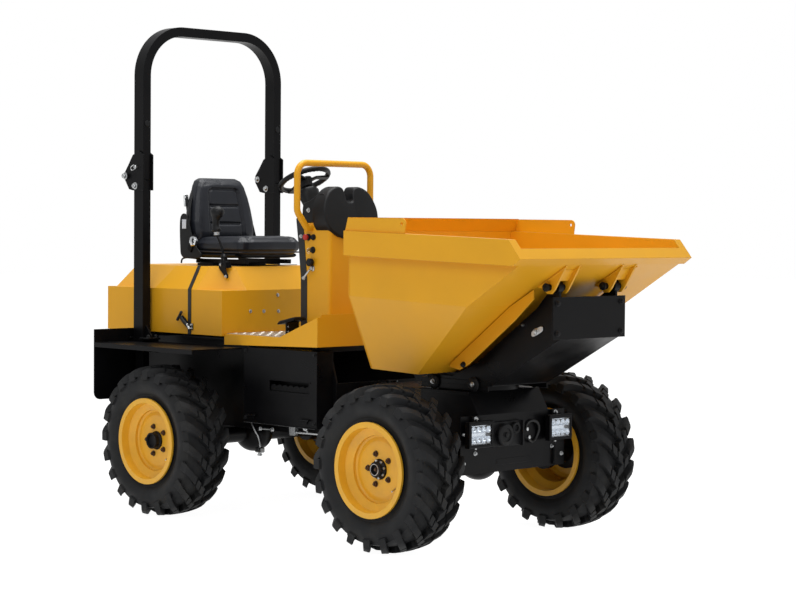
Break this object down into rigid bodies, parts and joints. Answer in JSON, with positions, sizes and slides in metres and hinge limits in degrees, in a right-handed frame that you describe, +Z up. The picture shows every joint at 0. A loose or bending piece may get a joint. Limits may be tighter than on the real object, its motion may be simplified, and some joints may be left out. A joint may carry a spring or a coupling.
{
  "type": "site dumper",
  "caption": "Small articulated four-wheel site dumper with a swivelling, tipping skip, folding roll hoop, hinged engine hood carrying the seat, and a console with steering wheel.",
  "frame": {"origin": "on the ground, midway along and across the machine", "axes": "+X forward towards the skip, +Y to the left of the driver, +Z up"},
  "size_m": [3.08, 1.428, 2.4538],
  "materials": {
    "yellow_paint": "gloss enamel",
    "black_paint": "satin black powder coat",
    "rubber": "moulded tyre rubber",
    "seal_rubber": "extruded rubber",
    "black_plastic": "moulded black plastic",
    "vinyl": "black seat vinyl",
    "steel": "bare steel",
    "chrome": "hard chrome",
    "alu_tread": "five-bar tread plate",
    "cast": "painted cast iron",
    "lamp": "clear lens"
  },
  "bodies": {
    "rear_frame": {"rear_chassis": "black_paint", "rear_fenders": "black_paint", "engine_block": "cast", "rear_axle": "black_paint", "seat_cowl": "yellow_paint", "hood_seal": "seal_rubber", "floor_pan": "yellow_paint", "tread_plate": "alu_tread", "step_boxes": "black_paint", "console_column": "yellow_paint", "console_back": "black_plastic", "dash_shroud": "black_plastic", "grab_hoop": "yellow_paint", "steering_column": "black_paint", "control_lever": "black_plastic", "pedals": "black_paint", "roll_legs": "black_paint", "pivot_yoke": "black_paint", "steer_mount_rear": "black_paint"},
    "hood": {"engine_hood": "yellow_paint", "seat_base": "black_paint", "seat_shell": "black_plastic", "seat_cushion": "vinyl", "seat_back": "vinyl"},
    "roll_hoop": {"roll_hoop": "black_paint"},
    "front_frame": {"front_knuckle": "black_paint", "front_chassis": "black_paint", "front_axle": "black_paint", "work_lights": "lamp", "steer_mount_front": "black_paint"},
    "slew_frame": {"slew_frame": "black_paint"},
    "skip": {"skip_shell": "yellow_paint", "spill_guard": "yellow_paint", "skip_lugs": "yellow_paint"},
    "tip_barrel": {"tip_barrel": "black_paint"},
    "tip_rod": {"tip_rod": "chrome"},
    "steer_barrel": {"steer_barrel": "black_paint"},
    "steer_rod": {"steer_rod": "chrome"},
    "steering_wheel": {"steering_wheel": "black_plastic"},
    "wheel_rear_right": {"tyre_rear_right": "rubber", "wheel_rim_rear_right": "yellow_paint", "hub_rear_right": "cast"},
    "wheel_rear_left": {"tyre_rear_left": "rubber", "wheel_rim_rear_left": "yellow_paint", "hub_rear_left": "cast"},
    "wheel_front_right": {"tyre_front_right": "rubber", "wheel_rim_front_right": "yellow_paint", "hub_front_right": "cast"},
    "wheel_front_left": {"tyre_front_left": "rubber", "wheel_rim_front_left": "yellow_paint", "hub_front_left": "cast"}
  },
  "joints": [
    {"name": "articulation", "type": "hinge", "parent": "rear_frame", "child": "front_frame", "pos_m": [0.21, 0, 0.56], "axis": [0, 0, 1], "range_deg": [-30, 30]},
    {"name": "steer_barrel_swing", "type": "hinge", "parent": "rear_frame", "child": "steer_barrel", "pos_m": [-0.07, -0.17, 0.56], "axis": [0, 0, 1], "range_deg": [-12, 12]},
    {"name": "steer_rod_slide", "type": "slide", "parent": "steer_barrel", "child": "steer_rod", "axis": [0.9999, 0.0109, 0], "range_m": [-0.088, 0.088]},
    {"name": "skip_slew", "type": "hinge", "parent": "front_frame", "child": "slew_frame", "pos_m": [0.777, 0, 0.728], "axis": [0, 0, -1], "range_deg": [-90, 90]},
    {"name": "skip_tip", "type": "hinge", "parent": "slew_frame", "child": "skip", "pos_m": [1.405, 0, 1.18], "axis": [0, 1, 0], "range_deg": [0, 65]},
    {"name": "tip_barrel_swing", "type": "hinge", "parent": "slew_frame", "child": "tip_barrel", "pos_m": [1.385, 0, 1.04], "axis": [0, 1, 0], "range_deg": [0, 68]},
    {"name": "tip_rod_slide", "type": "slide", "parent": "tip_barrel", "child": "tip_rod", "axis": [-0.8952, 0, -0.4458], "range_m": [0, 0.153]},
    {"name": "roll_hoop_fold", "type": "hinge", "parent": "rear_frame", "child": "roll_hoop", "pos_m": [-1.25, 0, 1.682], "axis": [0, -1, 0], "range_deg": [0, 105]},
    {"name": "hood_open", "type": "hinge", "parent": "rear_frame", "child": "hood", "pos_m": [-1.522, 0, 0.892], "axis": [0, -1, 0], "range_deg": [0, 45]},
    {"name": "steering_wheel_spin", "type": "hinge", "parent": "rear_frame", "child": "steering_wheel", "pos_m": [-0.417, 0, 1.66], "axis": [-0.4384, 0, 0.8988], "continuous": true},
    {"name": "wheel_rear_right_spin", "type": "hinge", "parent": "rear_frame", "child": "wheel_rear_right", "pos_m": [-0.797, -0.582, 0.372], "axis": [0, 1, 0], "continuous": true},
    {"name": "wheel_rear_left_spin", "type": "hinge", "parent": "rear_frame", "child": "wheel_rear_left", "pos_m": [-0.797, 0.582, 0.372], "axis": [0, 1, 0], "continuous": true},
    {"name": "wheel_front_right_spin", "type": "hinge", "parent": "front_frame", "child": "wheel_front_right", "pos_m": [0.777, -0.582, 0.372], "axis": [0, 1, 0], "continuous": true},
    {"name": "wheel_front_left_spin", "type": "hinge", "parent": "front_frame", "child": "wheel_front_left", "pos_m": [0.777, 0.582, 0.372], "axis": [0, 1, 0], "continuous": true}
  ],
  "couplings": [
    {"joint": "steer_barrel_swing", "follows": "articulation", "ratio": 0.38845},
    {"joint": "steer_rod_slide", "follows": "articulation", "m_per_rad": 0.16531},
    {"joint": "tip_barrel_swing", "follows": "skip_tip", "ratio": 1.0271},
    {"joint": "tip_rod_slide", "follows": "skip_tip", "m_per_rad": 0.13291}
  ]
}
